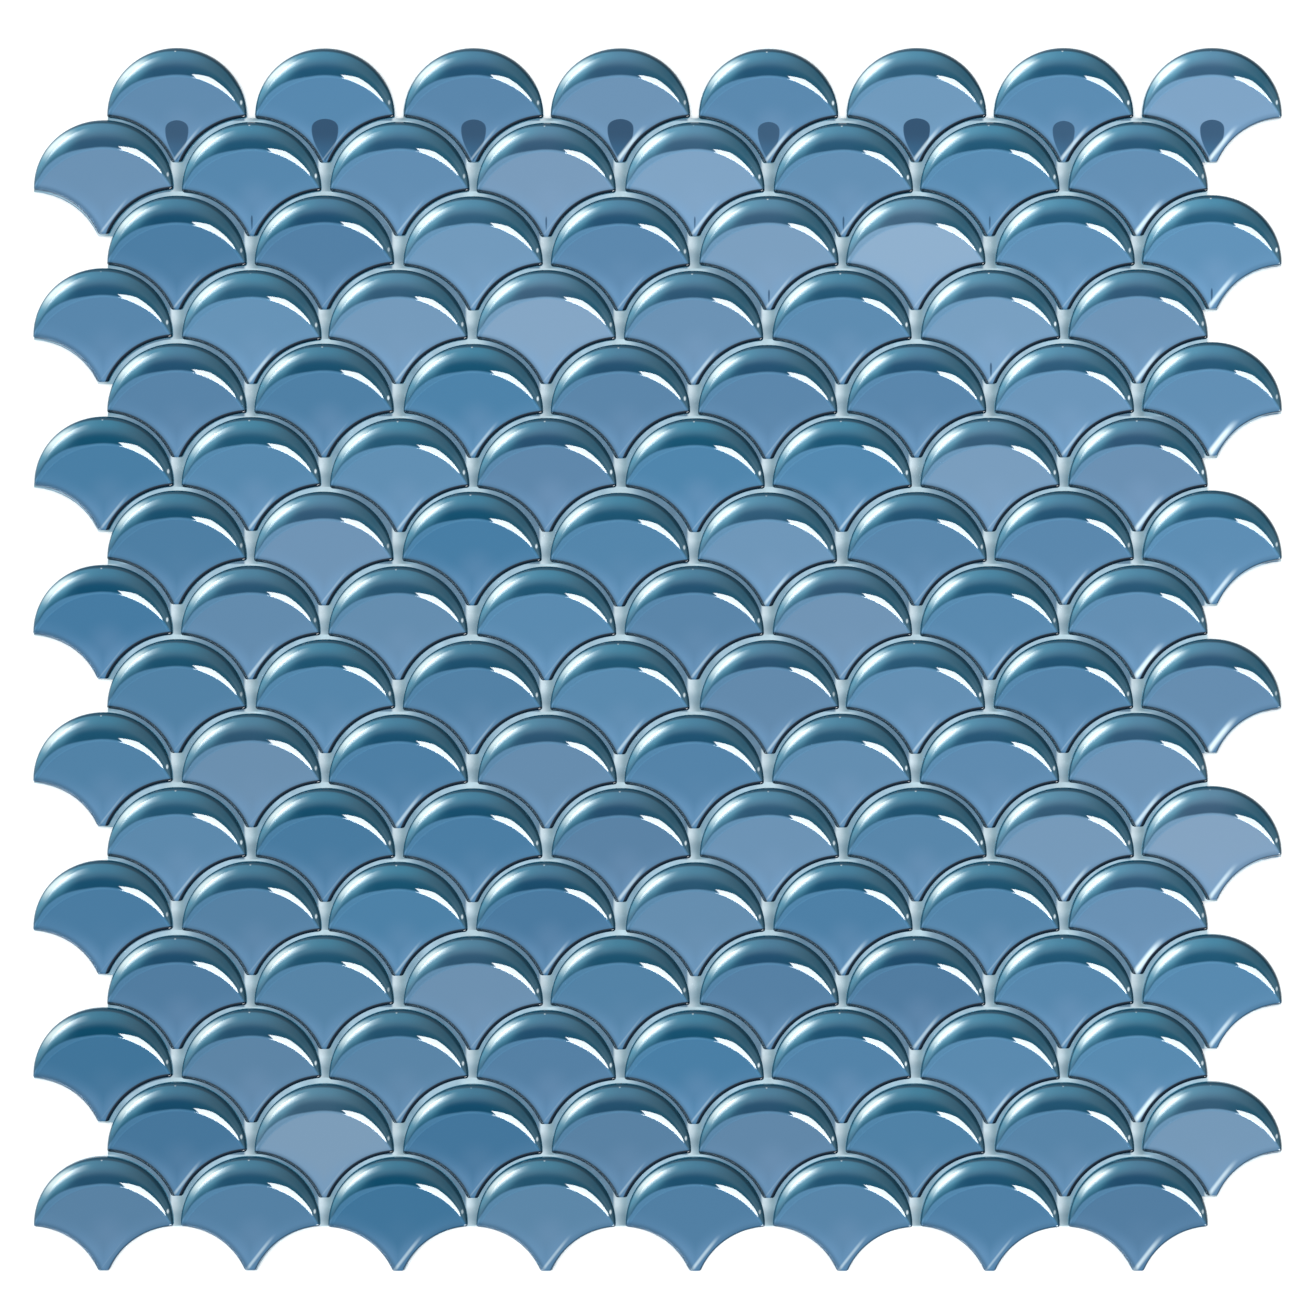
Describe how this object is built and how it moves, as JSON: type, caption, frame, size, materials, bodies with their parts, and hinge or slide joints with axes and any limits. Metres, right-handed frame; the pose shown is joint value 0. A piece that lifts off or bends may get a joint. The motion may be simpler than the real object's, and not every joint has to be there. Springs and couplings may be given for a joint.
{
  "type": "fish-scale glass mosaic tile sheet",
  "caption": "Flat mosaic sheet of fan-shaped moulded glass scales, each with a raised crescent ridge, in staggered rows on a thin pale backing, for covering walls and backsplashes.",
  "frame": {"origin": "on the resting plane, under the middle of the sheet's own box", "axes": "+Z out of the glass face, +X along the rows, +Y across the rows towards the scales' round edges"},
  "size_m": [0.304, 0.2978, 0.0071],
  "materials": {
    "blue_glass": "polished",
    "backing": "matte"
  },
  "bodies": {
    "root": {"scale_row_01": "blue_glass", "scale_row_02": "blue_glass", "scale_row_03": "blue_glass", "scale_row_04": "blue_glass", "scale_row_05": "blue_glass", "scale_row_06": "blue_glass", "scale_row_07": "blue_glass", "scale_row_08": "blue_glass", "scale_row_09": "blue_glass", "scale_row_10": "blue_glass", "scale_row_11": "blue_glass", "scale_row_12": "blue_glass", "scale_row_13": "blue_glass", "scale_row_14": "blue_glass", "scale_row_15": "blue_glass", "scale_row_16": "blue_glass", "backing_sheet": "backing"}
  },
  "joints": []
}
